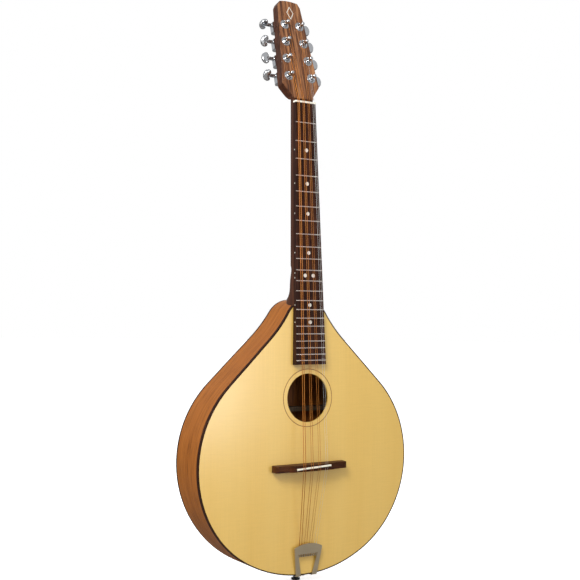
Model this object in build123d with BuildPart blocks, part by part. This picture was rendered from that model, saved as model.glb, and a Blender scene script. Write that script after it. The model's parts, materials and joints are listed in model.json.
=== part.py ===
"""Flat-topped, teardrop-bodied bouzouki with four double courses.

Frame, in millimetres: +Z runs up the centreline to the headstock, -Y is the front (the soundboard
side) and +X is the treble side. The origin is where the strap button seats, on the tail end.
"""

import os
from math import cos, radians, sin, sqrt, tan

from build123d import *

# ---- driving dimensions ----
scale_length = 610.0
fret_count = 22

# body outline, from the tail end round the treble side to the neck
tail_radius = 230.0
tail_angle = 29.6
bout_radius = 183.0
bout_angle = 106.1
slope_length = 109.7
shoulder_radius = 226.0
shoulder_angle = 14.6

# arched front and back, as arcs seen from the side: the nearest point of each and its radius
front_y = -34.0
front_z = 182.0
front_radius = 6000.0
back_y = 47.0
back_z = 256.0
back_radius = 1700.0

top_thickness = 3.0
back_thickness = 3.0
rib_thickness = 2.0
top_binding_height = 6.0
back_binding_height = 4.0
lining_width = 6.0
lining_height = 12.0

sound_hole_z = 297.0
sound_hole_radius = 41.0
rosette_radius = 48.5
rosette_width = 1.3
rosette_depth = 0.8

# neck: the nut stands on the fretboard plane, which leans back from the vertical
nut_y = -16.3
nut_z = 798.6
neck_angle = 3.3
head_angle = 16.2
board_width_nut = 40.9
board_width_end = 60.0
board_thickness = 7.0
board_overhang = 7.0
neck_depth_nut = 14.0
neck_depth_heel = 17.0
fret_width = 2.1
fret_crown = 1.0
fret_tang_width = 0.5
fret_tang_depth = 2.0
dot_radius = 3.2
dot_depth = 1.5
side_dot_radius = 1.1
dot_frets = (3, 5, 7, 10, 12, 15, 17)
double_dot_fret = 12

nut_thickness = 3.0
nut_proud = 1.8
string_lift = 1.35

head_thickness = 16.0
veneer_thickness = 1.5
head_length = 193.0

# bridge and saddle
bridge_z = 182.0
bridge_length = 140.0
bridge_width = 11.5
bridge_end_height = 15.0
bridge_hump_height = 20.0
saddle_z = 182.6
saddle_length = 67.0
saddle_thickness = 3.0
saddle_height = 23.0
saddle_skew = 2.75

# strings, bass to treble: four courses of two
course_radii = (0.5, 0.36, 0.28, 0.15)
wound_courses = 3
course_x_nut = (-14.8, -4.7, 5.5, 15.6)
course_x_saddle = (-20.5, -5.5, 9.5, 24.0)
pair_gap_nut = 2.9
pair_gap_saddle = 3.9
hook_pitch = 4.6
hook_z = 37.0

# tuning machines
post_places = ((22.8, 46.5), (21.3, 79.7), (17.9, 112.9), (15.1, 146.1))
knob_turns = (40.0, 5.0, 35.0, 65.0, 10.0, 5.0, 15.0, 10.0)
gear_teeth = 14
worm_offset = 8.5
gear_core_radius = 4.95
gear_tooth_middle = 5.25
worm_radius = 2.65
worm_end = 8.3
running_gap = 0.05

os.makedirs("parts", exist_ok=True)


def save(part, label):
    """Name a finished piece and write it."""
    part.label = label
    export_step(part, f"parts/{label}.step")


# ---- planes and lines that the pieces share ----
neck_plane = Plane(
    origin=(0, nut_y, nut_z),
    x_dir=(1, 0, 0),
    z_dir=(0, -cos(radians(neck_angle)), sin(radians(neck_angle))),
)
board_floor = neck_plane.offset(-board_thickness)
head_plane = Plane(
    origin=board_floor.from_local_coords((0, nut_thickness, 0)),
    x_dir=(1, 0, 0),
    z_dir=(0, -cos(radians(head_angle)), sin(radians(head_angle))),
)
veneer_face = head_plane.offset(veneer_thickness)
head_back = head_plane.offset(-head_thickness)


def fret_distance(number):
    """Distance of a fret from the nut, along the fretboard."""
    return scale_length * (1 - 2 ** (-number / 12))


board_length = fret_distance(fret_count) + board_overhang


def board_width(distance):
    """Width of the fretboard at a distance from the nut."""
    return board_width_nut + (board_width_end - board_width_nut) * distance / board_length


def front_surface(z):
    """Y of the soundboard's outer face at a height."""
    return front_y + front_radius - sqrt(front_radius**2 - (z - front_z) ** 2)


def back_surface(z):
    """Y of the back's outer face at a height."""
    return back_y - back_radius + sqrt(back_radius**2 - (z - back_z) ** 2)


# ---- body ----
with BuildSketch() as outline:
    with BuildLine():
        tail_arc = JernArc((0, 0), (1, 0), tail_radius, tail_angle)
        bout_arc = JernArc(tail_arc @ 1, tail_arc % 1, bout_radius, bout_angle)
        slope = Line(bout_arc @ 1, bout_arc @ 1 + slope_length * (bout_arc % 1))
        shoulder_arc = JernArc(slope @ 1, slope % 1, shoulder_radius, -shoulder_angle)
        end_turn = 180 - (tail_angle + bout_angle - shoulder_angle)
        end_radius = (shoulder_arc @ 1).X / sin(radians(end_turn))
        end_arc = JernArc(shoulder_arc @ 1, shoulder_arc % 1, end_radius, end_turn)
        mirror(about=Plane.YZ)
    make_face()
body_top = (end_arc @ 1).Y


def prism(inset, depth=70.0):
    """The body outline, drawn in by inset, as a solid."""
    with BuildPart() as solid:
        with BuildSketch(Plane.XZ):
            add(outline.sketch)
            if inset:
                offset(amount=-inset)
        extrude(amount=depth, both=True)
    return solid.part


def between(front_depth, back_depth):
    """Solid between the arched front and back, set in from each."""
    with BuildPart() as solid:
        with BuildSketch(Plane.YZ):
            with Locations((front_y + front_radius, front_z)):
                Circle(front_radius - front_depth)
            with Locations((back_y - back_radius, back_z)):
                Circle(back_radius - back_depth, mode=Mode.INTERSECT)
        extrude(amount=220, both=True)
    return solid.part


def front_layer(start, end):
    """Layer under the arched front, from one depth to a deeper one."""
    with BuildPart() as solid:
        add(between(start, 0))
        add(between(end, 0), mode=Mode.SUBTRACT)
    return solid.part


def back_layer(start, end):
    """Layer inside the arched back, from one depth to a deeper one."""
    with BuildPart() as solid:
        add(between(0, start))
        add(between(0, end), mode=Mode.SUBTRACT)
    return solid.part


outside = prism(0)
inside = prism(rib_thickness)
inside_lining = prism(rib_thickness + lining_width)

with BuildPart() as rosette:
    with BuildSketch(Plane.XZ):
        with Locations((0, sound_hole_z)):
            Circle(rosette_radius + rosette_width / 2)
            Circle(rosette_radius - rosette_width / 2, mode=Mode.SUBTRACT)
    extrude(amount=60)
    add(front_layer(0, rosette_depth), mode=Mode.INTERSECT)
save(rosette.part, "rosette")

with BuildPart() as soundboard:
    add(inside)
    add(front_layer(0, top_thickness), mode=Mode.INTERSECT)
    with BuildSketch(Plane.XZ):
        with Locations((0, sound_hole_z)):
            Circle(sound_hole_radius)
    extrude(amount=60, mode=Mode.SUBTRACT)
    add(rosette.part, mode=Mode.SUBTRACT)
save(soundboard.part, "soundboard")

with BuildPart() as back_plate:
    add(inside)
    add(back_layer(0, back_thickness), mode=Mode.INTERSECT)
save(back_plate.part, "back_plate")


def floor_y(z):
    """Y of the plane under the fretboard at a height."""
    return board_floor.origin.Y - (board_floor.origin.Z - z) * tan(radians(neck_angle))


# the truss rod runs down the neck and through the neck block, deeper at the body than at the nut
rod_radius = 2.5
rod_top_z = 787.0
rod_depth_top = 8.0
rod_depth_body = 11.2
rod_top = Vector(0, floor_y(rod_top_z) + rod_depth_top, rod_top_z)
rod_body = Vector(0, floor_y(body_top) + rod_depth_body, body_top)
rod_plane = Plane(origin=rod_top, x_dir=(1, 0, 0), z_dir=rod_body - rod_top)
rod_body_distance = (rod_body - rod_top).length


def turned(plane, *segments):
    """Round bar along a plane's normal, from (start, end, radius) segments."""
    with BuildPart() as bar:
        for start, end, radius in segments:
            with BuildSketch(plane.offset(start)):
                Circle(radius)
            extrude(amount=end - start)
    return bar.part


rod_clearance = 0.2
rod_end_past_body = 78.0
rod_block_hole = turned(rod_plane, (rod_body_distance - 5, rod_body_distance + rod_end_past_body, 3.6))

with BuildPart() as rim:
    add(outside)
    add(inside, mode=Mode.SUBTRACT)

with BuildPart() as top_binding:
    add(rim.part)
    add(front_layer(0, top_binding_height), mode=Mode.INTERSECT)
save(top_binding.part, "top_binding")

with BuildPart() as back_binding:
    add(rim.part)
    add(back_layer(0, back_binding_height), mode=Mode.INTERSECT)
save(back_binding.part, "back_binding")

# screws into the tail: three for the tailpiece and one for the strap button
screw_places = ((-15.0, -22.0), (0.0, -22.0), (15.0, -22.0))
screw_shank = 1.4
button_screw_radius = 2.0
with BuildPart() as tail_holes:
    with BuildSketch(Plane.XY.offset(-5)):
        with Locations(*screw_places):
            Circle(screw_shank)
        Circle(button_screw_radius)
    extrude(amount=30)

for label, side in (("rib_bass", Keep.BOTTOM), ("rib_treble", Keep.TOP)):
    with BuildPart() as rib:
        add(rim.part)
        add(between(top_binding_height, back_binding_height), mode=Mode.INTERSECT)
        split(bisect_by=Plane.YZ, keep=side)
        add(tail_holes.part, mode=Mode.SUBTRACT)
        add(rod_block_hole, mode=Mode.SUBTRACT)
    save(rib.part, label)

block_z = 398.0
with BuildPart() as neck_block:
    add(inside)
    add(between(top_thickness, back_thickness), mode=Mode.INTERSECT)
    with BuildSketch(Plane.XY.offset(block_z)):
        Rectangle(200, 200)
    extrude(amount=100, mode=Mode.INTERSECT)
    add(rod_block_hole, mode=Mode.SUBTRACT)
save(neck_block.part, "neck_block")

tail_block_z = 26.0
tail_block_half = 36.0
with BuildPart() as tail_block:
    add(inside)
    add(between(top_thickness, back_thickness), mode=Mode.INTERSECT)
    with BuildSketch(Plane.XY):
        Rectangle(2 * tail_block_half, 200)
    extrude(amount=tail_block_z, mode=Mode.INTERSECT)
    add(tail_holes.part, mode=Mode.SUBTRACT)
save(tail_block.part, "tail_block")

with BuildPart() as lining:
    add(inside)
    add(inside_lining, mode=Mode.SUBTRACT)
    with BuildSketch(Plane.XY.offset(block_z)):
        Rectangle(200, 200)
    extrude(amount=100, mode=Mode.SUBTRACT)
    with BuildSketch(Plane.XY):
        Rectangle(2 * tail_block_half, 200)
    extrude(amount=tail_block_z, mode=Mode.SUBTRACT)

with BuildPart() as top_lining:
    add(lining.part)
    add(front_layer(top_thickness, top_thickness + lining_height), mode=Mode.INTERSECT)
save(top_lining.part, "top_lining")

with BuildPart() as back_lining:
    add(lining.part)
    add(back_layer(back_thickness, back_thickness + lining_height), mode=Mode.INTERSECT)
save(back_lining.part, "back_lining")

# braces: bars that follow the arched plates and stop at the linings
brace_width = 8.0
top_brace_height = 13.0
back_brace_height = 14.0
cross_z = 206.0
cross_angle = 54.0
brace_limit = prism(rib_thickness + lining_width + 1.0)
with BuildPart() as top_braces:
    with BuildSketch(Plane.XZ):
        for tilt in (cross_angle, -cross_angle):
            with Locations(Location((0, cross_z), tilt)):
                Rectangle(360, brace_width)
        with Locations((0, sound_hole_z + rosette_radius + 12)):
            Rectangle(400, brace_width + 2)
    extrude(amount=70, both=True)
    add(brace_limit, mode=Mode.INTERSECT)
    add(front_layer(top_thickness, top_thickness + top_brace_height), mode=Mode.INTERSECT)
save(top_braces.part, "top_braces")

with BuildPart() as back_braces:
    with BuildSketch(Plane.XZ):
        for brace_z in (95.0, 180.0, 272.0, 362.0):
            with Locations((0, brace_z)):
                Rectangle(420, brace_width)
    extrude(amount=70, both=True)
    add(brace_limit, mode=Mode.INTERSECT)
    add(back_layer(back_thickness, back_thickness + back_brace_height), mode=Mode.INTERSECT)
save(back_braces.part, "back_braces")

# ---- neck ----
heel_blend_z = 520.0
heel_depth = back_surface(body_top) - floor_y(body_top) - 1.0
heel_sections = (
    # height, width of the back part as a share of the whole width, depth
    (500.0, 0.72, 22.0),
    (484.0, 0.66, 32.0),
    (472.0, 0.60, 47.0),
    (body_top, 0.56, heel_depth),
    (body_top - 16.0, 0.56, heel_depth),
)
neck_shoulder = 0.80


def neck_section(z, shoulder, depth):
    """Level section of the neck: flat front, rounded back."""
    edge = board_width((nut_z - z) / cos(radians(neck_angle))) / 2
    front = floor_y(z)
    with BuildSketch(Plane.XY.offset(z)) as section:
        with BuildLine():
            Line((-edge, front), (edge, front))
            Spline(
                (edge, front),
                (shoulder * edge, front + 0.66 * depth),
                (0, front + depth),
                (-shoulder * edge, front + 0.66 * depth),
                (-edge, front),
                tangents=((0, 1), (0, -1)),
            )
        make_face()
    return section.sketch


# tuners, bass side then treble side, each from the nut up: side, half the gap between posts, height
tuners = [(-1, *place) for place in post_places] + [(1, *place) for place in post_places]
tuner_screw_along = -12.3
tuner_screw_radius = 1.0
tuner_screw_depth = 8.0
tuner_hole_radius = 4.6
head_start = 6.0
head_crown = 1.0
head_corner_radius = 7.0
head_end_round = 11.0
with BuildSketch() as head_outline:
    with BuildLine():
        head_edge = Polyline(
            (0, head_start),
            (20.8, head_start),
            (21.4, 11),
            (36.6, 31),
            (27.6, 128),
            (22.6, 184),
            (18.3, head_length - head_crown),
        )
        ThreePointArc(head_edge @ 1, (10, head_length + 0.4), (0, head_length + head_crown))
        mirror(about=Plane.YZ)
    make_face()
    flare_corners = vertices().filter_by(lambda corner: abs(corner.X) > 22 and corner.Y < 60)
    fillet(flare_corners, head_corner_radius)
with BuildSketch() as head_holes:
    for half_gap, along in post_places:
        with Locations((half_gap, along), (-half_gap, along)):
            Circle(tuner_hole_radius)


def tuner_plane(side, half_gap, along, out, up):
    """Plane on the headstock's back at a tuner: out and up are from its post, z into the head."""
    place = head_back.from_local_coords((side * (half_gap + out), along + up, 0))
    return Plane(origin=place, x_dir=(side, 0, 0), z_dir=head_back.z_dir)


with BuildPart() as head_slab:
    with BuildSketch(head_plane):
        add(head_outline.sketch)
    extrude(amount=-head_thickness)
    slab_end = head_slab.faces().sort_by(Axis(head_plane.origin, head_plane.y_dir))[0]
    fillet(slab_end.edges().sort_by(Axis(head_plane.origin, head_plane.z_dir))[0], head_end_round)

with BuildPart() as neck:
    add(neck_section(nut_z + 22, neck_shoulder, neck_depth_nut))
    add(neck_section(heel_blend_z, neck_shoulder, neck_depth_heel))
    loft(ruled=True)
    add(neck_section(heel_blend_z, neck_shoulder, neck_depth_heel))
    for height, shoulder, depth in heel_sections:
        add(neck_section(height, shoulder, depth))
    loft()
    add(head_slab.part)
    add(outside, mode=Mode.SUBTRACT)
    with BuildSketch(board_floor):
        with Locations((0, nut_thickness - 250)):
            Rectangle(120, 500)
    extrude(amount=40, mode=Mode.SUBTRACT)
    with BuildSketch(head_plane):
        with Locations((0, 125)):
            Rectangle(120, 250)
    extrude(amount=40, mode=Mode.SUBTRACT)
    with BuildSketch(head_plane):
        add(head_holes.sketch)
    extrude(amount=-head_thickness - 1, mode=Mode.SUBTRACT)
    add(turned(rod_plane, (0, rod_body_distance + 20, rod_radius + rod_clearance)), mode=Mode.SUBTRACT)
    for side, half_gap, along in tuners:
        screw_place = tuner_plane(side, half_gap, along, 0, tuner_screw_along)
        add(turned(screw_place, (0, tuner_screw_depth, tuner_screw_radius)), mode=Mode.SUBTRACT)
save(neck.part, "neck")

inlay_depth = 0.8
inlay_along = 171.0
inlay_half_length = 13.0
inlay_half_width = 7.0
inlay_line = 1.3
with BuildSketch() as inlay_diamond:
    with BuildLine():
        Polyline(
            (0, inlay_along - inlay_half_length),
            (inlay_half_width, inlay_along),
            (0, inlay_along + inlay_half_length),
            (-inlay_half_width, inlay_along),
            close=True,
        )
    make_face()
with BuildPart() as headstock_inlay:
    with BuildSketch(veneer_face):
        add(inlay_diamond.sketch)
        offset(inlay_diamond.sketch, amount=-inlay_line, mode=Mode.SUBTRACT)
    extrude(amount=-inlay_depth)
save(headstock_inlay.part, "headstock_inlay")

veneer_start = 0.02
with BuildPart() as headstock_veneer:
    with BuildSketch(head_plane):
        add(head_outline.sketch)
        with Locations((0, veneer_start - 20)):
            Rectangle(60, 40, mode=Mode.SUBTRACT)
        add(head_holes.sketch, mode=Mode.SUBTRACT)
    extrude(amount=veneer_thickness)
    add(headstock_inlay.part, mode=Mode.SUBTRACT)
save(headstock_veneer.part, "headstock_veneer")

# ---- fretboard ----
with BuildSketch() as board_plan:
    with BuildLine():
        Polyline(
            (-board_width_nut / 2, 0),
            (board_width_nut / 2, 0),
            (board_width_end / 2, -board_length),
            (-board_width_end / 2, -board_length),
            close=True,
        )
    make_face()

with BuildPart() as board_blank:
    with BuildSketch(board_floor):
        add(board_plan.sketch)
    extrude(amount=board_thickness)


def fret_plane(distance):
    """Plane across the fretboard at a distance from the nut: x up the neck, y out of the board."""
    place = neck_plane.from_local_coords((0, -distance, 0))
    return Plane(origin=place, x_dir=neck_plane.y_dir, z_dir=(1, 0, 0))


with BuildPart() as frets:
    for number in range(1, fret_count + 1):
        distance = fret_distance(number)
        with BuildSketch(fret_plane(distance)):
            with BuildLine():
                Line((-fret_width / 2, 0), (fret_width / 2, 0))
                ThreePointArc((fret_width / 2, 0), (0, fret_crown), (-fret_width / 2, 0))
            make_face()
            with Locations((0, -fret_tang_depth / 2)):
                Rectangle(fret_tang_width, fret_tang_depth)
        extrude(amount=board_width(distance) / 2 - 0.3, both=True)
save(frets.part, "frets")


def dot_distance(number):
    """Distance from the nut to the middle of the space behind a fret."""
    return (fret_distance(number) + fret_distance(number - 1)) / 2


with BuildPart() as position_dots:
    with BuildSketch(neck_plane):
        for number in dot_frets:
            spread = (-8.0, 8.0) if number == double_dot_fret else (0.0,)
            with Locations(*[(x, -dot_distance(number)) for x in spread]):
                Circle(dot_radius)
    extrude(amount=-dot_depth)
save(position_dots.part, "position_dots")

with BuildPart() as side_dots:
    for number in dot_frets:
        steps = (-4.0, 4.0) if number == double_dot_fret else (0.0,)
        for step in steps:
            distance = dot_distance(number) + step
            place = neck_plane.from_local_coords((-board_width(distance) / 2 - 1, -distance, -3.0))
            with BuildSketch(Plane(origin=place, x_dir=(0, 1, 0), z_dir=(1, 0, 0))):
                Circle(side_dot_radius)
            extrude(amount=1 + dot_depth)
    add(board_blank.part, mode=Mode.INTERSECT)
save(side_dots.part, "side_dots")

with BuildPart() as fretboard:
    add(board_blank.part)
    add(frets.part, mode=Mode.SUBTRACT)
    add(position_dots.part, mode=Mode.SUBTRACT)
    add(side_dots.part, mode=Mode.SUBTRACT)
save(fretboard.part, "fretboard")

with BuildPart() as fretboard_wedge:
    with BuildSketch(board_floor):
        add(board_plan.sketch)
    extrude(amount=-10)
    add(outside, mode=Mode.INTERSECT)
    add(between(0, 0), mode=Mode.SUBTRACT)
save(fretboard_wedge.part, "fretboard_wedge")

# ---- strings: each runs hook, saddle, nut, post ----
string_x_nut = [x + step * pair_gap_nut / 2 for x in course_x_nut for step in (-1, 1)]
string_x_saddle = [x + step * pair_gap_saddle / 2 for x in course_x_saddle for step in (-1, 1)]
string_x_hook = [(number - 3.5) * hook_pitch for number in range(8)]
string_radii = [radius for radius in course_radii for step in (-1, 1)]
post_waist_radius = 2.5
string_height = 8.0
string_posts = [(-1, *place) for place in post_places]
string_posts += [(1, *place) for place in reversed(post_places)]
tail_lean = 7.4
tail_front_y = -33.8
tail_frame = Plane(
    origin=(0, tail_front_y, 0),
    x_dir=(1, 0, 0),
    z_dir=(0, -cos(radians(tail_lean)), -sin(radians(tail_lean))),
)
hook_drop = 3.6
hook_reach = 3.2


def string_part(number):
    """One string as straight runs between its bearing points."""
    radius = string_radii[number]
    side, half_gap, along = string_posts[number]
    x_saddle = string_x_saddle[number]
    hook = tail_frame.from_local_coords((string_x_hook[number], hook_z - hook_reach, -hook_drop))
    at_saddle = Vector(
        x_saddle,
        front_y - saddle_height - radius - 0.05,
        saddle_z + x_saddle * tan(radians(saddle_skew)),
    )
    at_nut = neck_plane.from_local_coords((string_x_nut[number], nut_thickness + 0.3, string_lift + radius))
    at_post = head_plane.from_local_coords(
        (side * (half_gap - post_waist_radius - radius - 0.3), along, string_height)
    )
    with BuildPart() as string:
        with BuildLine() as path:
            Polyline(hook, at_saddle, at_nut, at_post)
        with BuildSketch(Plane(origin=hook, z_dir=path.line % 0)):
            Circle(radius)
        sweep(path=path.line, transition=Transition.RIGHT)
    return string.part


wound_count = 2 * wound_courses
for label, numbers in (("strings_wound", range(wound_count)), ("strings_plain", range(wound_count, 8))):
    with BuildPart() as strings:
        for number in numbers:
            add(string_part(number))
    save(strings.part, label)

nut_origin = neck_plane.origin
with BuildPart() as nut:
    with BuildSketch(board_floor):
        with Locations((0, nut_thickness / 2)):
            Rectangle(board_width_nut, nut_thickness)
    extrude(amount=board_thickness + nut_proud)
    fillet(nut.faces().sort_by(Axis(nut_origin, neck_plane.z_dir))[-1].edges(), 0.7)
    for number in range(8):
        radius = string_radii[number]
        with BuildSketch(neck_plane.offset(string_lift - 0.05)):
            with Locations((string_x_nut[number], nut_thickness / 2)):
                Rectangle(2 * radius + 0.2, nut_thickness + 2)
        extrude(amount=5, mode=Mode.SUBTRACT)
save(nut.part, "nut")

# ---- bridge and saddle ----
saddle_seat = 16.5
bridge_top_width = 10.6
bridge_half = bridge_length / 2
hump_half = 38.0
hump_slope = 9.0
saddle_plane = Plane(
    origin=(0, front_y - saddle_seat, saddle_z),
    x_dir=(cos(radians(saddle_skew)), 0, sin(radians(saddle_skew))),
    z_dir=(0, -1, 0),
)
with BuildPart() as saddle:
    with BuildSketch(saddle_plane):
        Rectangle(saddle_length, saddle_thickness)
    extrude(amount=saddle_height - saddle_seat)
    fillet(saddle.faces().sort_by(Axis.Y)[0].edges(), 1.1)
save(saddle.part, "saddle")

with BuildPart() as bridge:
    with BuildSketch(Plane.XY.offset(bridge_z - bridge_width / 2)):
        with BuildLine():
            bridge_edge = Polyline(
                (0, front_y - bridge_hump_height),
                (hump_half, front_y - bridge_hump_height),
                (hump_half + hump_slope, front_y - bridge_end_height - 0.6),
                (bridge_half - 5, front_y - bridge_end_height),
                (bridge_half, front_y - bridge_end_height + 1.5),
                (bridge_half, front_y),
                (0, front_y),
            )
            mirror(about=Plane.YZ)
        make_face()
        hump_corners = vertices().filter_by(lambda corner: 1 < abs(corner.X) < hump_half + hump_slope + 1)
        fillet(hump_corners, 5.0)
    extrude(amount=bridge_width)
    with BuildSketch(Plane.YZ):
        with BuildLine():
            Polyline(
                (front_y + 1, bridge_z - bridge_width / 2),
                (front_y + 1, bridge_z + bridge_width / 2),
                (front_y - bridge_hump_height, bridge_z + bridge_top_width / 2),
                (front_y - bridge_hump_height, bridge_z - bridge_top_width / 2),
                close=True,
            )
        make_face()
    extrude(amount=bridge_half, both=True, mode=Mode.INTERSECT)
    with BuildSketch(saddle_plane):
        Rectangle(saddle_length, saddle_thickness)
    extrude(amount=10, mode=Mode.SUBTRACT)
save(bridge.part, "bridge")

# ---- tailpiece ----
frame_thickness = 1.8
plate_thickness = 1.5
plate_back_y = -9.0
plate_half_width = 20.5
leg_inner_half = 10.5
leg_gap_depth = 27.0
prong_width = 1.8
prong_length = 5.2
prong_tip = 1.6
prong_root = 0.2
frame_half_width = 27.5
frame_shoulder = 48.0
frame_crown = 54.5
window_half_width = 19.0
with BuildPart() as tailpiece:
    with BuildSketch(tail_frame):
        with BuildLine():
            left = (-frame_half_width, frame_shoulder)
            right = (frame_half_width, frame_shoulder)
            ThreePointArc(left, (0, frame_crown), right)
            Polyline(right, (plate_half_width, -plate_thickness), (-plate_half_width, -plate_thickness), left)
        make_face()
        fillet(vertices().filter_by(lambda corner: corner.Y > 40), 2.5)
        with BuildLine():
            Polyline(
                (-leg_inner_half, -3),
                (leg_inner_half, -3),
                (window_half_width, hook_z),
                (-window_half_width, hook_z),
                close=True,
            )
        make_face(mode=Mode.SUBTRACT)
    extrude(amount=-frame_thickness)
    with BuildSketch(tail_frame):
        for x in string_x_hook:
            with Locations((x, hook_z + (prong_root - prong_length) / 2)):
                Rectangle(prong_width, prong_length + prong_root)
    extrude(amount=-frame_thickness)
    with BuildSketch(tail_frame):
        for x in string_x_hook:
            with Locations((x, hook_z - prong_length + prong_tip / 2)):
                Rectangle(prong_width, prong_tip)
    extrude(amount=-hook_drop - 1.4)
    with BuildSketch(Plane.XZ.offset(-plate_back_y)):
        with Locations((0, tail_radius)):
            Circle(tail_radius + plate_thickness)
            Circle(tail_radius, mode=Mode.SUBTRACT)
        Rectangle(2 * plate_half_width, 10, mode=Mode.INTERSECT)
    extrude(amount=plate_back_y - tail_front_y)
    with BuildSketch(Plane.XZ.offset(leg_gap_depth)):
        Rectangle(2 * leg_inner_half, 10)
    extrude(amount=20, mode=Mode.SUBTRACT)
    bend = tailpiece.edges().filter_by(Axis.X).sort_by(lambda edge: edge.center().Y + edge.center().Z)
    fillet(bend[:2], 1.4)
    with BuildSketch(Plane.XY.offset(-5)):
        with Locations(*screw_places):
            Circle(screw_shank)
    extrude(amount=8, mode=Mode.SUBTRACT)
save(tailpiece.part, "tailpiece")

screw_head_radius = 2.9
with BuildPart() as tailpiece_screws:
    for x, y in screw_places:
        near_edge = max(0.0, abs(x) - screw_head_radius)
        seat = sqrt((tail_radius + plate_thickness) ** 2 - near_edge**2) - tail_radius
        place = Plane(origin=(x, y, -seat), z_dir=(0, 0, -1))
        add(turned(place, (0.02, 1.7, screw_head_radius), (-16.0, 0.02, screw_shank)))
save(tailpiece_screws.part, "tailpiece_screws")

# ---- strap button ----
down = Plane(origin=(0, 0, 0), x_dir=(1, 0, 0), z_dir=(0, 0, -1))
button_head_radius = 7.4
button_head_start = 11.5
button_head_end = 15.0
button_screw_seat = button_head_end - 2.3
with BuildPart() as strap_button:
    add(turned(down, (0, 2.0, 6.0), (2.0, button_head_start, 4.2)))
    add(turned(down, (button_head_start, button_head_end, button_head_radius)))
    rims = strap_button.edges().filter_by(GeomType.CIRCLE).sort_by(Axis.Z)
    fillet([rim for rim in rims if rim.radius > 7.0], 0.6)
    add(turned(down, (-1, 20, button_screw_radius + 0.05), (button_screw_seat, 20, 3.7)), mode=Mode.SUBTRACT)
save(strap_button.part, "strap_button")

strap_button_screw = turned(
    down,
    (-22.0, button_screw_seat, button_screw_radius),
    (button_screw_seat, button_screw_seat + 2.0, 3.5),
)
save(strap_button_screw, "strap_button_screw")

# ---- truss rod ----
rod_nut_start = rod_body_distance + 65.0
truss_rod = turned(rod_plane, (0.5, rod_body_distance + rod_end_past_body, rod_radius))
save(truss_rod, "truss_rod")
with BuildPart() as truss_rod_nut:
    with BuildSketch(rod_plane.offset(rod_nut_start)):
        RegularPolygon(3.9, 6)
        Circle(rod_radius + running_gap, mode=Mode.SUBTRACT)
    extrude(amount=9.0)
save(truss_rod_nut.part, "truss_rod_nut")

# ---- tuning machines: heights are from the back of the headstock, towards its face ----
face_height = head_thickness + veneer_thickness
washer_radius = 8.4
washer_thickness = 1.0
hex_thickness = 2.5
washer_top = face_height + washer_thickness
hex_top = washer_top + hex_thickness
waist_start = face_height + 5.0
string_hole_height = face_height + 8.9
waist_end = face_height + 10.5
post_top = face_height + 14.5
worm_height = -5.0
housing_depth = 10.5
housing_length = 21.5
housing_width = 22.0
housing_middle = 2.5
ear_middle = -11.0
shaft_radius = 2.0
nose_end = 19.5
knob_middle = 28.5
knob_half = 3.3


def worm_plane(side, half_gap, along, turn=0.0):
    """Plane across a worm's axis at its post: z runs outwards, y is the knob's tall direction."""
    place = head_back.from_local_coords((side * half_gap, along + worm_offset, worm_height))
    up = head_back.y_dir.rotate(Axis((0, 0, 0), (1, 0, 0)), turn)
    return Plane(origin=place, x_dir=up, z_dir=(side, 0, 0))


with BuildPart() as tuner_housings:
    for side, half_gap, along in tuners:
        with BuildPart(mode=Mode.PRIVATE) as housing:
            with BuildSketch(head_back):
                with Locations((side * (half_gap + 2.25), along + housing_middle)):
                    RectangleRounded(housing_length, housing_width, 3.0)
            extrude(amount=-housing_depth)
            fillet(housing.faces().sort_by(Axis(head_back.origin, head_back.z_dir))[0].edges(), 2.0)
            with BuildSketch(head_back):
                with Locations((side * half_gap, along + ear_middle)):
                    RectangleRounded(7.0, 9.0, 2.5)
            extrude(amount=-1.4)
            add(turned(worm_plane(side, half_gap, along), (12.0, nose_end, 3.2)))
            post = tuner_plane(side, half_gap, along, 0, 0)
            add(
                turned(
                    post,
                    (-9.4, -7.1, 1.6 + running_gap),
                    (-7.1, -2.9, gear_tooth_middle + 0.85),
                    (-2.9, 0.0, 2.2 + running_gap),
                ),
                mode=Mode.SUBTRACT,
            )
            add(
                turned(
                    worm_plane(side, half_gap, along),
                    (-7.1, -5.2, 1.2 + running_gap),
                    (-5.2, worm_end + 0.2, worm_radius + 0.4),
                    (worm_end + 0.2, nose_end, shaft_radius + running_gap),
                ),
                mode=Mode.SUBTRACT,
            )
            screw_place = tuner_plane(side, half_gap, along, 0, tuner_screw_along)
            add(turned(screw_place, (-2, 0, tuner_screw_radius)), mode=Mode.SUBTRACT)
        add(housing.part)
save(tuner_housings.part, "tuner_housings")

with BuildPart() as tuner_screws:
    for side, half_gap, along in tuners:
        place = tuner_plane(side, half_gap, along, 0, tuner_screw_along)
        add(turned(place, (-2.6, -1.4, 1.9), (-1.4, 7.5, 1.0)))
save(tuner_screws.part, "tuner_screws")

with BuildPart() as tuner_washers:
    with BuildSketch(veneer_face):
        for side, half_gap, along in tuners:
            with Locations((side * half_gap, along)):
                Circle(washer_radius)
                Circle(4.55, mode=Mode.SUBTRACT)
    extrude(amount=washer_thickness)
save(tuner_washers.part, "tuner_washers")

with BuildPart() as tuner_bushings:
    for side, half_gap, along in tuners:
        place = tuner_plane(side, half_gap, along, 0, 0)
        with BuildSketch(place.offset(washer_top)):
            RegularPolygon(5.9, 6)
        extrude(amount=hex_thickness)
        add(turned(place, (1.6, washer_top, 4.5)))
        add(turned(place, (1.6, hex_top, 3.0 + running_gap)), mode=Mode.SUBTRACT)
save(tuner_bushings.part, "tuner_bushings")

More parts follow.
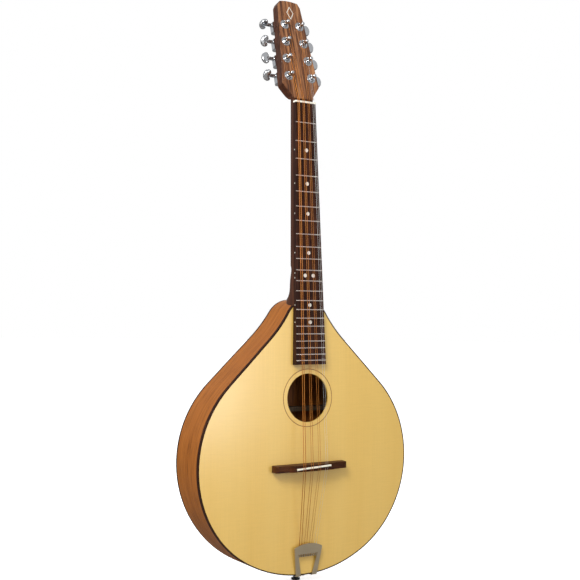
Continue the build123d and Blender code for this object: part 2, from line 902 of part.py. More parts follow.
for number, (side, half_gap, along) in enumerate(tuners, start=1):
    place = tuner_plane(side, half_gap, along, 0, 0)
    with BuildPart() as string_post:
        with BuildSketch(place.offset(-6.6)):
            Circle(gear_core_radius)
            with PolarLocations(gear_tooth_middle, gear_teeth):
                Rectangle(0.8, 1.0)
        extrude(amount=3.3)
        add(turned(place, (-9.2, -6.6, 1.6), (-3.3, 1.0, 2.2), (1.0, waist_start, 3.0)))
        add(turned(place, (waist_start, waist_end, post_waist_radius), (waist_end, post_top, 3.0)))
        top_edge = string_post.edges().filter_by(GeomType.CIRCLE).sort_by(Axis(place.origin, place.z_dir))[-1]
        chamfer(top_edge, 0.6)
        with BuildSketch(Plane(origin=place.from_local_coords((0, 0, string_hole_height)), z_dir=place.y_dir)):
            Circle(0.9)
        extrude(amount=5, both=True, mode=Mode.SUBTRACT)
    save(string_post.part, f"string_post_{number}")

    axis = worm_plane(side, half_gap, along, knob_turns[number - 1])
    worm_shaft = turned(
        axis,
        (-6.9, -5.0, 1.2),
        (-5.0, worm_end, worm_radius),
        (worm_end, 19.8, shaft_radius),
        (19.8, knob_middle + 1, 1.8),
    )
    save(worm_shaft, f"worm_shaft_{number}")

    with BuildPart() as tuner_knob:
        with BuildSketch(Plane(origin=axis.origin, x_dir=axis.z_dir, z_dir=axis.z_dir.cross(axis.x_dir))):
            with BuildLine():
                Spline(
                    (knob_middle - 4.4, 0),
                    (knob_middle - 6.2, 5.0),
                    (knob_middle - 3.0, 9.6),
                    (knob_middle + 4.0, 7.9),
                    (knob_middle + 7.4, 0),
                    (knob_middle + 4.0, -7.9),
                    (knob_middle - 3.0, -9.6),
                    (knob_middle - 6.2, -5.0),
                    periodic=True,
                )
            make_face()
        extrude(amount=knob_half, both=True)
        fillet(tuner_knob.edges(), 2.4)
        add(turned(axis, (20.0, knob_middle - 3.5, 3.0)))
        add(turned(axis, (19.0, knob_middle + 1.2, 1.85)), mode=Mode.SUBTRACT)
    save(tuner_knob.part, f"tuner_knob_{number}")
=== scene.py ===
"""Looks of the bouzouki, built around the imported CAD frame.

Metres, in the row frame: +Z up to the headstock, -Y the soundboard side, +X the treble side.
"""

import json
import math

import bpy
from mathutils import Matrix, Vector


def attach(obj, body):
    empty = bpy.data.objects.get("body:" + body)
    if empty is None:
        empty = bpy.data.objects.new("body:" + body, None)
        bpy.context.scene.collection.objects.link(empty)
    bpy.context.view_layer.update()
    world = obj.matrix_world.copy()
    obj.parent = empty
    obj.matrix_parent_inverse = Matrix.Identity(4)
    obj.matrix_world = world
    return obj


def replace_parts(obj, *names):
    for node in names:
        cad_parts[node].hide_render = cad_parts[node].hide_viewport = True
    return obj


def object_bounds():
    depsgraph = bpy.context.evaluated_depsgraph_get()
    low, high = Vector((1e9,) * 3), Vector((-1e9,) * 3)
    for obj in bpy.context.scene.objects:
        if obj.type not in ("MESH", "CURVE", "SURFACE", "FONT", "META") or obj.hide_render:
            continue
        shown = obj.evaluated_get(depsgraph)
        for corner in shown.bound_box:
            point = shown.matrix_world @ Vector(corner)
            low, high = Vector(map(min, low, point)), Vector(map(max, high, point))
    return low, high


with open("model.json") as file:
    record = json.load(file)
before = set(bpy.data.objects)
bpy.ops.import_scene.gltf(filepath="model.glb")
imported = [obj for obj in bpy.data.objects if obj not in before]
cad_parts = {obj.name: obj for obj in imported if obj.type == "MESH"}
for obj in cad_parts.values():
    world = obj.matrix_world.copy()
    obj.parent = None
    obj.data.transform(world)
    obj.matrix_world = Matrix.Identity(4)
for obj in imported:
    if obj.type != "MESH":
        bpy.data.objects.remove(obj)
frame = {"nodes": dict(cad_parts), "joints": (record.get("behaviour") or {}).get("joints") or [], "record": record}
cad_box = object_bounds()
nodes = frame["nodes"]
joints = {joint["name"]: joint for joint in frame["joints"]}
MM = 0.001
TUNERS = range(1, 9)


# ---------------------------------------------------------------- node helpers
class Shader:
    """A material whose nodes are added one by one."""

    def __init__(self, name, **inputs):
        self.material = bpy.data.materials.new(name)
        self.material.use_nodes = True
        self.tree = self.material.node_tree
        self.surface = self.tree.nodes["Principled BSDF"]
        for key, value in inputs.items():
            self.surface.inputs[key.replace("_", " ")].default_value = value

    def add(self, kind, **settings):
        node = self.tree.nodes.new("ShaderNode" + kind)
        for key, value in settings.items():
            setattr(node, key, value)
        return node

    def wire(self, source, target):
        self.tree.links.new(source, target)

    def place(self, scale, mirrored=False, turn=(0, 0, 0)):
        """Object coordinates, scaled; mirrored repeats them on both sides of x = 0."""
        out = self.add("TexCoord").outputs["Object"]
        if mirrored:
            split = self.add("SeparateXYZ")
            self.wire(out, split.inputs[0])
            fold = self.add("Math", operation="ABSOLUTE")
            self.wire(split.outputs[0], fold.inputs[0])
            join = self.add("CombineXYZ")
            self.wire(fold.outputs[0], join.inputs[0])
            self.wire(split.outputs[1], join.inputs[1])
            self.wire(split.outputs[2], join.inputs[2])
            out = join.outputs[0]
        mapping = self.add("Mapping")
        mapping.inputs["Scale"].default_value = scale
        mapping.inputs["Rotation"].default_value = turn
        self.wire(out, mapping.inputs["Vector"])
        return mapping.outputs["Vector"]

    def noise(self, place, scale=1.0, detail=4.0, rough=0.55, distortion=0.0):
        node = self.add("TexNoise")
        node.inputs["Scale"].default_value = scale
        node.inputs["Detail"].default_value = detail
        node.inputs["Roughness"].default_value = rough
        node.inputs["Distortion"].default_value = distortion
        self.wire(place, node.inputs["Vector"])
        return node.outputs["Fac"]

    def wave(self, place, axis, scale, distortion=0.0, detail=2.0, detail_scale=1.0):
        node = self.add("TexWave", bands_direction=axis)
        node.inputs["Scale"].default_value = scale
        node.inputs["Distortion"].default_value = distortion
        node.inputs["Detail"].default_value = detail
        node.inputs["Detail Scale"].default_value = detail_scale
        self.wire(place, node.inputs["Vector"])
        return node.outputs["Fac"]

    def ramp(self, fac, *stops):
        """Colour or grey ramp from (position, value) stops."""
        node = self.add("ValToRGB")
        elements = node.color_ramp.elements
        while len(elements) < len(stops):
            elements.new(0.5)
        for element, (position, value) in zip(elements, stops):
            element.position = position
            grey = isinstance(value, (int, float))
            element.color = (value, value, value, 1) if grey else (*value, 1)
        self.wire(fac, node.inputs["Fac"])
        return node.outputs["Color"]

    def mix(self, fac, a, b, blend="MIX"):
        node = self.add("Mix", data_type="RGBA", blend_type=blend)
        for index, value in ((0, fac), (6, a), (7, b)):
            if isinstance(value, bpy.types.NodeSocket):
                self.wire(value, node.inputs[index])
            elif index == 0:
                node.inputs[0].default_value = value
            else:
                node.inputs[index].default_value = (*value, 1)
        return node.outputs[2]

    def span(self, fac, low, high):
        """A 0 to 1 value carried to the range low to high."""
        node = self.add("MapRange")
        node.inputs["To Min"].default_value = low
        node.inputs["To Max"].default_value = high
        self.wire(fac, node.inputs["Value"])
        return node.outputs["Result"]

    def colour(self, socket):
        self.wire(socket, self.surface.inputs["Base Color"])

    def roughness(self, fac, low, high):
        self.wire(self.span(fac, low, high), self.surface.inputs["Roughness"])

    def bump(self, *layers):
        """Bump from (height, strength, depth in metres) layers."""
        normal = None
        for height, strength, depth in layers:
            node = self.add("Bump")
            node.inputs["Strength"].default_value = strength
            node.inputs["Distance"].default_value = depth
            self.wire(height, node.inputs["Height"])
            if normal is not None:
                self.wire(normal, node.inputs["Normal"])
            normal = node.outputs["Normal"]
        self.wire(normal, self.surface.inputs["Normal"])


def wood(name, dark, middle, light, grain, mirrored=False, pores=0.5, rough=(0.3, 0.42), coat=0.35,
         streak=1.0, contrast=(0.3, 0.7), ior=1.45):
    """Lacquered hardwood: broad colour drift, streaks along the grain and open pores."""
    shader = Shader(name, Coat_Weight=coat, Coat_Roughness=0.16, IOR=ior)
    broad = shader.noise(shader.place([g * 0.16 for g in grain], mirrored), 1.0, 2.0, 0.5, 0.4)
    fine = shader.noise(shader.place([g * streak for g in grain], mirrored), 1.0, 7.0, 0.62, 0.25)
    blend = shader.mix(0.62, shader.ramp(broad, (0.25, 0.0), (0.75, 1.0)),
                       shader.ramp(fine, (contrast[0], 0.0), (contrast[1], 1.0)))
    tone = shader.ramp(blend, (0.1, dark), (0.5, middle), (0.92, light))
    pore = shader.noise(shader.place([g * 5.0 for g in grain], mirrored), 1.0, 1.0, 0.4)
    pore_line = shader.ramp(pore, (0.33, 0.0), (0.42, 1.0))
    shader.colour(shader.mix(pores, tone, shader.mix(1.0, tone, pore_line, "MULTIPLY")))
    shader.roughness(fine, *rough)
    shader.bump((pore_line, 0.25, 0.00012), (fine, 0.15, 0.00015))
    return shader.material


def metal(name, tint, rough, scratch=(900, 900, 900), scratch_depth=0.00002, smudge=0.06):
    """Metal with fine scratches and faint smudges."""
    shader = Shader(name, Metallic=1.0)
    marks = shader.noise(shader.place(scratch), 1.0, 3.0, 0.6)
    cloud = shader.noise(shader.place((55, 55, 55)), 1.0, 3.0, 0.5)
    low = [channel * 0.93 for channel in tint]
    shader.colour(shader.ramp(cloud, (0.35, low), (0.65, tint)))
    shader.roughness(cloud, rough, rough + smudge)
    shader.bump((marks, 0.12, scratch_depth))
    return shader.material


# ---------------------------------------------------------------- materials
def spruce():
    """Pale bookmatched softwood: close rings up the body, faint silk across them."""
    shader = Shader("spruce_top", Coat_Weight=1.0, Coat_Roughness=0.25, Coat_IOR=1.8, IOR=1.3)
    rings = shader.wave(shader.place((1, 0.6, 0.05), True), "X", 230.0, 3.0, 2.0, 0.9)
    wide = shader.noise(shader.place((22, 8, 1.2), True), 1.0, 2.0, 0.5, 0.2)
    fine = shader.noise(shader.place((1100, 300, 7), True), 1.0, 4.0, 0.6)
    silk = shader.noise(shader.place((28, 28, 420), True), 1.0, 3.0, 0.55, 0.3)
    base = shader.ramp(wide, (0.3, (0.775, 0.488, 0.105)), (0.7, (0.80, 0.522, 0.125)))
    line = shader.ramp(rings, (0.45, 1.0), (0.98, 0.88))
    lined = shader.mix(0.7, base, shader.mix(1.0, base, line, "MULTIPLY"))
    grain = shader.ramp(fine, (0.3, 0.92), (0.7, 1.0))
    grained = shader.mix(0.8, lined, shader.mix(1.0, lined, grain, "MULTIPLY"))
    sheen = shader.ramp(silk, (0.35, 0.96), (0.65, 1.0))
    shader.colour(shader.mix(0.8, grained, shader.mix(1.0, grained, sheen, "MULTIPLY")))
    shader.roughness(fine, 0.55, 0.65)
    shader.bump((rings, 0.10, 0.00008), (fine, 0.10, 0.00008))
    return shader.material


def bone():
    shader = Shader("bone", Subsurface_Weight=0.08, IOR=1.54)
    cloud = shader.noise(shader.place((180, 180, 180)), 1.0, 3.0, 0.5)
    streaks = shader.noise(shader.place((120, 1500, 1500)), 1.0, 3.0, 0.5)
    tone = shader.ramp(cloud, (0.3, (0.80, 0.74, 0.60)), (0.7, (0.88, 0.84, 0.73)))
    streak_tone = shader.ramp(streaks, (0.3, (0.72, 0.64, 0.48)), (0.7, (0.92, 0.89, 0.80)))
    shader.colour(shader.mix(0.25, tone, streak_tone))
    shader.roughness(cloud, 0.28, 0.40)
    shader.bump((streaks, 0.1, 0.00002))
    return shader.material


def pearl():
    shader = Shader("pearl", Coat_Weight=0.5, Coat_Roughness=0.05, IOR=1.55)
    swirl = shader.noise(shader.place((260, 260, 260)), 1.0, 3.0, 0.5, 2.5)
    tone = shader.ramp(
        swirl, (0.3, (0.50, 0.47, 0.40)), (0.5, (0.74, 0.70, 0.62)), (0.7, (0.62, 0.63, 0.60)))
    shader.colour(tone)
    shader.roughness(swirl, 0.14, 0.26)
    shader.bump((swirl, 0.08, 0.00003))
    return shader.material


def wound_wire(name, dark, light, rough):
    """Bronze winding: ridges 0.35 mm apart along the string, with painted shade darkening the colour in the
    grooves between them.
    """
    shader = Shader(name, Metallic=1.0)
    ridges = shader.wave(shader.place((1, 1, 1)), "Z", 900.0)
    cloud = shader.noise(shader.place((90, 90, 30)), 1.0, 3.0, 0.5)
    tone = shader.ramp(cloud, (0.3, dark), (0.7, light))
    # painted shade: the colour darkens in the grooves between the windings, where shade falls
    groove_shade = shader.ramp(ridges, (0.0, 0.55), (0.6, 1.0))
    shader.colour(shader.mix(1.0, tone, groove_shade, "MULTIPLY"))
    shader.roughness(cloud, rough, rough + 0.12)
    shader.bump((ridges, 0.6, 0.00006))
    return shader.material


def plastic(name, tint, rough):
    shader = Shader(name, IOR=1.46)
    grain = shader.noise(shader.place((1400, 1400, 1400)), 1.0, 2.0, 0.5)
    cloud = shader.noise(shader.place((120, 120, 120)), 1.0, 3.0, 0.5)
    shader.colour(shader.ramp(cloud, (0.3, tint), (0.7, [c * 1.5 for c in tint])))
    shader.roughness(cloud, rough, rough + 0.12)
    shader.bump((grain, 0.15, 0.00003))
    return shader.material


materials = {
    "spruce_top": spruce(),
    "mahogany_body": wood(
        "mahogany_body", (0.19, 0.056, 0.008), (0.325, 0.106, 0.018), (0.425, 0.158, 0.032),
        (5, 230, 5), rough=(0.40, 0.54), coat=0.03, ior=1.18, streak=1.6, contrast=(0.22, 0.78)),
    # mahogany_back is darkened all over below the ribs' mahogany: painted shade for the back's inside, seen
    # through the sound hole
    "mahogany_back": wood(
        "mahogany_back", (0.16, 0.046, 0.008), (0.27, 0.088, 0.017), (0.36, 0.132, 0.029),
        (150, 40, 5), mirrored=True, rough=(0.40, 0.54), coat=0.06, ior=1.28),
    "mahogany_neck": wood(
        "mahogany_neck", (0.034, 0.011, 0.005), (0.064, 0.021, 0.010), (0.105, 0.038, 0.017),
        (160, 160, 5), rough=(0.38, 0.52), coat=0.02, ior=1.24),
    "rosewood": wood(
        "rosewood", (0.008, 0.003, 0.002), (0.028, 0.009, 0.005), (0.068, 0.025, 0.014),
        (230, 230, 6), pores=0.75, rough=(0.42, 0.58), coat=0.0, ior=1.20),
    "bridge_rosewood": wood(
        "bridge_rosewood", (0.020, 0.006, 0.002), (0.058, 0.017, 0.005), (0.115, 0.038, 0.012),
        (6, 230, 260), pores=0.75, rough=(0.4, 0.55), coat=0.0, ior=1.20),
    "striped_veneer": wood(
        "striped_veneer", (0.040, 0.014, 0.007), (0.20, 0.075, 0.028), (0.42, 0.20, 0.085),
        (210, 30, 4), pores=0.65, rough=(0.32, 0.44), coat=0.08, contrast=(0.40, 0.60),
        ior=1.36),
    "dark_binding": wood(
        "dark_binding", (0.012, 0.005, 0.003), (0.030, 0.011, 0.006), (0.055, 0.022, 0.012),
        (60, 260, 60), rough=(0.5, 0.62), coat=0.0, ior=1.15),
    "rosette_wood": wood(
        "rosette_wood", (0.16, 0.060, 0.010), (0.24, 0.095, 0.017), (0.32, 0.140, 0.028),
        (120, 120, 120), rough=(0.4, 0.5), coat=0.0),
    # inner_wood is darker than the braces', linings' and block's own wood: painted shade for the inside of the
    # body, seen through the sound hole
    "inner_wood": wood(
        "inner_wood", (0.075, 0.042, 0.020), (0.11, 0.067, 0.035), (0.14, 0.092, 0.05),
        (140, 140, 12), rough=(0.6, 0.75), coat=0.0),
    "bone": bone(),
    "pearl": pearl(),
    "fret_metal": metal("fret_metal", (0.80, 0.73, 0.67), 0.20, (60, 1600, 1600)),
    "chrome": metal("chrome", (0.62, 0.63, 0.65), 0.10),
    "satin_nickel": metal("satin_nickel", (0.50, 0.43, 0.31), 0.42, (1500, 1500, 70), 0.00005, 0.10),
    "steel": metal("steel", (0.52, 0.52, 0.52), 0.28),
    "bronze_wire": wound_wire("bronze_wire", (0.50, 0.170, 0.035), (0.64, 0.250, 0.055), 0.34),
    "bronze_turns": wound_wire("bronze_turns", (0.34, 0.20, 0.11), (0.46, 0.30, 0.18), 0.34),
    "plain_wire": metal("plain_wire", (0.68, 0.68, 0.66), 0.32),
    "black_plastic": plastic("black_plastic", (0.010, 0.010, 0.011), 0.22),
}

subpart_slots = {row["node"]: row["material_slot"] for row in frame["record"]["subparts"]}
own_look = {"back_plate": "mahogany_back", "bridge": "bridge_rosewood", "rosette": "rosette_wood"}
for node, obj in nodes.items():
    look = own_look.get(node, subpart_slots[node])
    obj.data.materials.clear()
    obj.data.materials.append(materials[look])


# ---------------------------------------------------------------- mesh helpers
def frame_of(direction):
    """Two unit vectors across a direction."""
    direction = Vector(direction).normalized()
    guide = Vector((0, 0, 1)) if abs(direction.z) < 0.9 else Vector((1, 0, 0))
    across = direction.cross(guide).normalized()
    return across, direction.cross(across).normalized()


def tube(points, radius, sides=10, closed=False):
    """Vertices and faces of a round wire through points."""
    points = [Vector(p) for p in points]
    count = len(points)
    verts, faces = [], []
    across = None
    for i, point in enumerate(points):
        before = points[i - 1] if closed or i else points[i]
        after = points[(i + 1) % count] if closed or i < count - 1 else points[i]
        tangent = (after - before).normalized()
        if across is None:
            across = frame_of(tangent)[0]
        across = (across - across.dot(tangent) * tangent).normalized()
        other = tangent.cross(across)
        for k in range(sides):
            angle = 2 * math.pi * k / sides
            verts.append(point + radius * (math.cos(angle) * across + math.sin(angle) * other))
    rings = count if closed else count - 1
    for i in range(rings):
        a, b = i * sides, ((i + 1) % count) * sides
        for k in range(sides):
            m = (k + 1) % sides
            faces.append((a + k, a + m, b + m, b + k))
    if not closed:
        faces.append(tuple(reversed(range(sides))))
        faces.append(tuple(range((count - 1) * sides, count * sides)))
    return verts, faces


def lathe(profile, origin, axis, steps=40, sides_of=None):
    """Closed turned ring: profile is (radius, height) points round the section, in metres.

    sides_of gives a radius factor at an angle, for a hexagonal rim on the points it is asked for.
    """
    origin, axis = Vector(origin), Vector(axis).normalized()
    across, other = frame_of(axis)
    verts, faces = [], []
    for k in range(steps):
        angle = 2 * math.pi * k / steps
        out = math.cos(angle) * across + math.sin(angle) * other
        for index, (radius, height) in enumerate(profile):
            factor = sides_of(index, angle) if sides_of else 1.0
            verts.append(origin + out * radius * factor + axis * height)
    size = len(profile)
    for k in range(steps):
        a, b = k * size, ((k + 1) % steps) * size
        for i in range(size):
            j = (i + 1) % size
            faces.append((a + i, b + i, b + j, a + j))
    return verts, faces


def cap(profile, origin, axis, steps=32):
    """Closed turned solid: profile runs from the axis at the top out and down to the axis at the base."""
    origin, axis = Vector(origin), Vector(axis).normalized()
    across, other = frame_of(axis)
    top, base = profile[0], profile[-1]
    verts = [origin + axis * top[1], origin + axis * base[1]]
    rims = profile[1:-1]
    for k in range(steps):
        angle = 2 * math.pi * k / steps
        out = math.cos(angle) * across + math.sin(angle) * other
        verts += [origin + out * radius + axis * height for radius, height in rims]
    faces = []
    size = len(rims)
    for k in range(steps):
        a, b = 2 + k * size, 2 + ((k + 1) % steps) * size
        faces.append((0, a, b))
        faces += [(a + i, a + i + 1, b + i + 1, b + i) for i in range(size - 1)]
        faces.append((1, b + size - 1, a + size - 1))
    return verts, faces


def build(name, shapes, look, body, smooth_angle=40.0):
    """One piece from several (vertices, faces) shapes, riding on a body."""
    verts, faces = [], []
    for shape_verts, shape_faces in shapes:
        start = len(verts)
        verts += [tuple(v) for v in shape_verts]
        faces += [tuple(start + i for i in face) for face in shape_faces]
    mesh = bpy.data.meshes.new(name)
    mesh.from_pydata(verts, [], faces)
    mesh.validate()
    mesh.update()
    piece = bpy.data.objects.new(name, mesh)
    bpy.context.scene.collection.objects.link(piece)
    bpy.context.view_layer.objects.active = piece
    piece.select_set(True)
    bpy.ops.object.mode_set(mode="EDIT")
    bpy.ops.mesh.select_all(action="SELECT")
    bpy.ops.mesh.normals_make_consistent(inside=False)
    bpy.ops.object.mode_set(mode="OBJECT")
    piece.select_set(False)
    mesh.shade_smooth()
    mesh.set_sharp_from_angle(angle=math.radians(smooth_angle))
    mesh.materials.append(materials[look])
    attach(piece, body)
    return piece


# ---------------------------------------------------------------- tuning machines
# heights are along a post, from the headstock's back
VENEER = 17.5 * MM
HEX_RADIUS = 5.9 * MM
WASHER_RADIUS = 8.4 * MM
WASHER_THICKNESS = 1.0 * MM
KNOB_TIP = 35.65 * MM


def hexagon(angle):
    """Radius factor of a hexagon whose corners are cut back to 0.95 of their reach."""
    sector = (angle % (math.pi / 3)) - math.pi / 6
    return min(math.cos(math.pi / 6) / math.cos(sector), 0.95)


washers, hexes = [], []
for number in TUNERS:
    post = joints[f"post_{number}_turn"]
    foot, up = Vector(post["pos_m"]), Vector(post["axis"]).normalized()
    washers.append(lathe(
        [(4.7 * MM, 0.0), (WASHER_RADIUS, 0.0), (WASHER_RADIUS, 0.45 * MM),
         (WASHER_RADIUS - 0.3 * MM, 0.85 * MM), (WASHER_RADIUS - 0.8 * MM, WASHER_THICKNESS),
         (WASHER_RADIUS - 1.3 * MM, 0.8 * MM), (WASHER_RADIUS - 1.6 * MM, 0.45 * MM),
         (5.5 * MM, 0.45 * MM), (5.3 * MM, WASHER_THICKNESS), (4.7 * MM, WASHER_THICKNESS)],
        foot + up * VENEER, up, 56))
    nut_profile = [(3.1 * MM, -12.0 * MM), (4.5 * MM, -12.0 * MM), (4.5 * MM, 0.0),
                   (HEX_RADIUS * 0.96, 0.0), (HEX_RADIUS, 0.35 * MM), (HEX_RADIUS, 1.7 * MM),
                   (5.3 * MM, 2.25 * MM),
                   (5.0 * MM, 2.5 * MM), (4.6 * MM, 2.5 * MM), (3.3 * MM, 0.8 * MM), (3.1 * MM, 0.8 * MM)]
    hexes.append(lathe(
        nut_profile, foot + up * (VENEER + WASHER_THICKNESS), up, 72,
        lambda index, angle: hexagon(angle) if index in (3, 4, 5) else 1.0))
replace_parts(build("machine_washers", washers, "chrome", "root", 30), "tuner_washers")
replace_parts(build("machine_nuts", hexes, "chrome", "root", 30), "tuner_bushings")

for number in TUNERS:
    key = joints[f"tuner_key_{number}_turn"]
    centre, out = Vector(key["pos_m"]), Vector(key["axis"]).normalized()
    tip = centre + out * KNOB_TIP
    head = cap([(0, 0.95 * MM), (0.9 * MM, 0.85 * MM), (1.6 * MM, 0.5 * MM), (1.9 * MM, 0.0),
                (1.9 * MM, -0.8 * MM), (0, -0.8 * MM)], tip, out)
    build(f"knob_screw_{number}", [head], "steel", f"tuner_key_{number}")

# ---------------------------------------------------------------- strings: turns round the posts
# strings run from the bass side; heights are along a post, from the headstock's back
COURSE_RADII = (0.5 * MM, 0.36 * MM, 0.28 * MM, 0.15 * MM)
WOUND_STRINGS = 6
THICK_STRINGS = 4
THICK_TURNS = 2.5
THIN_TURNS = 3.5
STEPS_PER_TURN = 28
POST_WAIST = 2.5 * MM
WIND_HEIGHT = 24.0 * MM
HOLE_HEIGHT = 26.4 * MM
string_machines = (1, 2, 3, 4, 8, 7, 6, 5)
for string, machine in enumerate(string_machines):
    radius = COURSE_RADII[string // 2]
    side = -1 if machine < 5 else 1
    post = joints[f"post_{machine}_turn"]
    foot, up = Vector(post["pos_m"]), Vector(post["axis"]).normalized()
    along = Vector((0, -up.z, up.y))
    if along.z < 0:
        along = -along
    inward = Vector((-side, 0, 0))
    reach = POST_WAIST + radius
    turns = THICK_TURNS if string < THICK_STRINGS else THIN_TURNS
    pitch = 2.08 * radius
    points = []
    steps = int(turns * STEPS_PER_TURN)
    for step in range(steps + 1):
        angle = 2 * math.pi * turns * step / steps
        height = WIND_HEIGHT - pitch * turns * 0.45 + pitch * turns * step / steps
        spin = inward * math.cos(angle) + along * math.sin(angle)
        points.append(foot + spin * reach + up * height)
    last = points[-1]
    hole = foot + up * HOLE_HEIGHT + along * 3.4 * MM
    points += [last.lerp(hole, 0.5) + (last - foot - up * WIND_HEIGHT).normalized() * 0.6 * MM, hole,
               foot + up * HOLE_HEIGHT - along * 3.6 * MM]
    look = "bronze_turns" if string < WOUND_STRINGS else "plain_wire"
    build(f"string_turns_{machine}", [tube(points, radius * 0.98, 10)], look, f"post_{machine}", 60)

# ---------------------------------------------------------------- strings: loops at the tailpiece
TWIST_TURNS = 15
TWIST_STEPS = TWIST_TURNS * 14
TWIST_START = 5.0 * MM
TWIST_END = 21.0 * MM
LOOP_STEPS = 36
HOOK_PITCH = 4.6 * MM
HOOK_Z = 37.0 * MM
HOOK_DROP = 3.6 * MM
HOOK_REACH = 3.2 * MM
TAIL_FRONT_Y = -33.8 * MM
TAIL_LEAN = math.radians(7.4)
FRONT_Y = -34.0 * MM
SADDLE_Z = 182.6 * MM
SADDLE_HEIGHT = 23.0 * MM
SADDLE_SKEW = math.tan(math.radians(2.75))
COURSE_X = (-20.5 * MM, -5.5 * MM, 9.5 * MM, 24.0 * MM)
PAIR_GAP = 3.9 * MM
tail_out = Vector((0, -math.cos(TAIL_LEAN), -math.sin(TAIL_LEAN)))
tail_up = Vector((0, -math.sin(TAIL_LEAN), math.cos(TAIL_LEAN)))
for label, strings, look in (("wound", range(WOUND_STRINGS), "bronze_wire"),
                             ("plain", range(WOUND_STRINGS, 8), "plain_wire")):
    shapes = []
    for string in strings:
        radius = COURSE_RADII[string // 2]
        wire = max(0.16 * MM, radius * 0.5)
        x_saddle = COURSE_X[string // 2] + (-1, 1)[string % 2] * PAIR_GAP / 2
        hook = Vector(((string - 3.5) * HOOK_PITCH, TAIL_FRONT_Y, 0))
        hook += tail_up * (HOOK_Z - HOOK_REACH) - tail_out * HOOK_DROP
        saddle = Vector((x_saddle, FRONT_Y - SADDLE_HEIGHT - radius, SADDLE_Z + x_saddle * SADDLE_SKEW))
        way = (saddle - hook).normalized()
        across, other = frame_of(way)
        twist = []
        for step in range(TWIST_STEPS + 1):
            share = step / TWIST_STEPS
            angle = 2 * math.pi * TWIST_TURNS * share
            spin = across * math.cos(angle) + other * math.sin(angle)
            distance = TWIST_START + (TWIST_END - TWIST_START) * share
            twist.append(hook + way * distance + spin * (radius + wire * 0.9))
        shapes.append(tube(twist, wire, 8))
        loop = []
        for step in range(LOOP_STEPS):
            angle = 2 * math.pi * step / LOOP_STEPS
            wide = 1.35 * MM * math.sin(angle)
            long = 1.2 * MM + 3.8 * MM * (1 - math.cos(angle)) / 2 - 3.6 * MM
            loop.append(hook + way * (long + 1.0 * MM) + Vector((wide, 0, 0)))
        shapes.append(tube(loop, wire, 8, closed=True))
    build(f"string_ends_{label}", shapes, look, "root", 60)

# ---------------------------------------------------------------- floor, light and camera
FLOOR_Z = cad_box[0].z - 0.6 * MM
FLOOR_RADIUS = 14.0
floor_mesh = bpy.data.meshes.new("floor")
rim = [(FLOOR_RADIUS * math.cos(a), FLOOR_RADIUS * math.sin(a), FLOOR_Z)
       for a in (2 * math.pi * k / 64 for k in range(64))]
floor_mesh.from_pydata([(0, 0, FLOOR_Z)] + rim, [], [(0, 1 + k, 1 + (k + 1) % 64) for k in range(64)])
floor = bpy.data.objects.new("floor", floor_mesh)
bpy.context.scene.collection.objects.link(floor)
floor_look = Shader("floor_white", Base_Color=(0.90, 0.90, 0.90, 1), Roughness=0.9,
                    Emission_Color=(1, 1, 1, 1), Emission_Strength=0.78)
floor_far = floor_look.add("BsdfDiffuse")
floor_far.inputs["Color"].default_value = (0.34, 0.33, 0.32, 1)
floor_path = floor_look.add("LightPath")
floor_mix = floor_look.add("MixShader")
floor_look.wire(floor_path.outputs["Is Camera Ray"], floor_mix.inputs[0])
floor_look.wire(floor_far.outputs[0], floor_mix.inputs[1])
floor_look.wire(floor_look.surface.outputs[0], floor_mix.inputs[2])
floor_look.wire(floor_mix.outputs[0], floor_look.tree.nodes["Material Output"].inputs["Surface"])
floor_mesh.materials.append(floor_look.material)

world = bpy.data.worlds.new("studio")
bpy.context.scene.world = world
world.use_nodes = True
tree = world.node_tree
background = tree.nodes["Background"]
backdrop = tree.nodes.new("ShaderNodeBackground")
backdrop.inputs["Color"].default_value = (1, 1, 1, 1)
backdrop.inputs["Strength"].default_value = 1.0
direction = tree.nodes.new("ShaderNodeTexCoord")
split = tree.nodes.new("ShaderNodeSeparateXYZ")
height_ramp = tree.nodes.new("ShaderNodeValToRGB")
elements = height_ramp.color_ramp.elements
elements[0].position, elements[0].color = 0.46, (0.07, 0.07, 0.075, 1)
elements[1].position, elements[1].color = 0.60, (0.86, 0.87, 0.88, 1)
shift = tree.nodes.new("ShaderNodeMapRange")
shift.inputs["From Min"].default_value = -1.0
tree.links.new(direction.outputs["Generated"], split.inputs[0])
tree.links.new(split.outputs["Z"], shift.inputs["Value"])
tree.links.new(shift.outputs["Result"], height_ramp.inputs["Fac"])
tree.links.new(height_ramp.outputs["Color"], background.inputs["Color"])
background.inputs["Strength"].default_value = 0.71
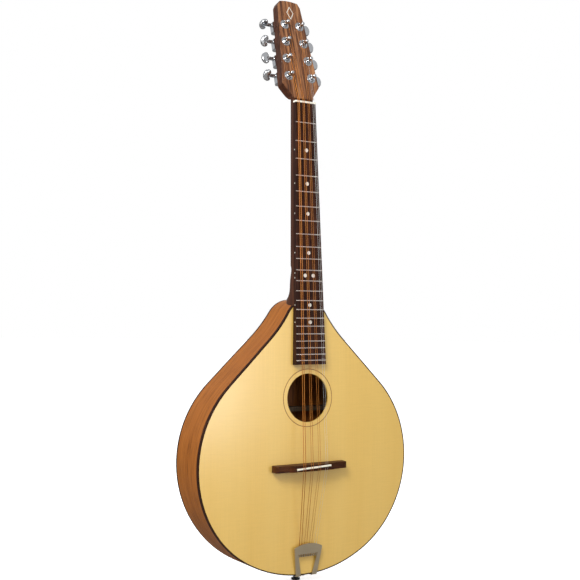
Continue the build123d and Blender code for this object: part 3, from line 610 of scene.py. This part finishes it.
path = tree.nodes.new("ShaderNodeLightPath")
choose = tree.nodes.new("ShaderNodeMixShader")
tree.links.new(path.outputs["Is Camera Ray"], choose.inputs[0])
tree.links.new(background.outputs[0], choose.inputs[1])
tree.links.new(backdrop.outputs[0], choose.inputs[2])
tree.links.new(choose.outputs[0], tree.nodes["World Output"].inputs["Surface"])


def area_light(name, place, target, size, power, tint=(1, 1, 1)):
    """Rectangular lamp at place, facing target."""
    light = bpy.data.lights.new(name, "AREA")
    light.shape = "RECTANGLE"
    light.size, light.size_y = size
    light.energy = power
    light.color = tint
    lamp = bpy.data.objects.new(name, light)
    lamp.location = place
    lamp.rotation_mode = "QUATERNION"
    lamp.rotation_quaternion = (Vector(target) - Vector(place)).to_track_quat("-Z", "Y")
    bpy.context.scene.collection.objects.link(lamp)


area_light("key", (-0.84, -0.74, 1.12), (0, 0, 0.35), (0.5, 0.5), 16, (1.0, 0.985, 0.96))
area_light("front_sheen", (0.62, -1.9, 0.44), (0, 0, 0.4), (0.45, 0.8), 8)
area_light("left_strip", (-1.9, -0.1, 0.7), (0, 0, 0.4), (0.4, 1.2), 8)
area_light("back", (1.5, 1.7, 1.3), (0, 0, 0.5), (1.2, 1.2), 4)

CAMERA_PLACE = (-0.96098, -1.51007, 0.44503)
YAW, PITCH, ROLL = -0.5586, 0.0190, -0.0103
camera_data = bpy.data.cameras.new("camera")
camera_data.sensor_width = 36.0
camera_data.lens = 64.73
camera_data.clip_start, camera_data.clip_end = 0.05, 60.0
camera = bpy.data.objects.new("camera", camera_data)
turned = Matrix.Rotation(YAW, 3, "Z") @ Matrix.Rotation(PITCH, 3, "X") @ Matrix.Rotation(ROLL, 3, "Y")
stand_up = Matrix(((1, 0, 0), (0, 0, -1), (0, 1, 0)))
camera.matrix_world = Matrix.Translation(CAMERA_PLACE) @ (turned @ stand_up).to_4x4()
bpy.context.scene.collection.objects.link(camera)
bpy.context.scene.camera = camera
bpy.context.scene.view_settings.view_transform = "Standard"
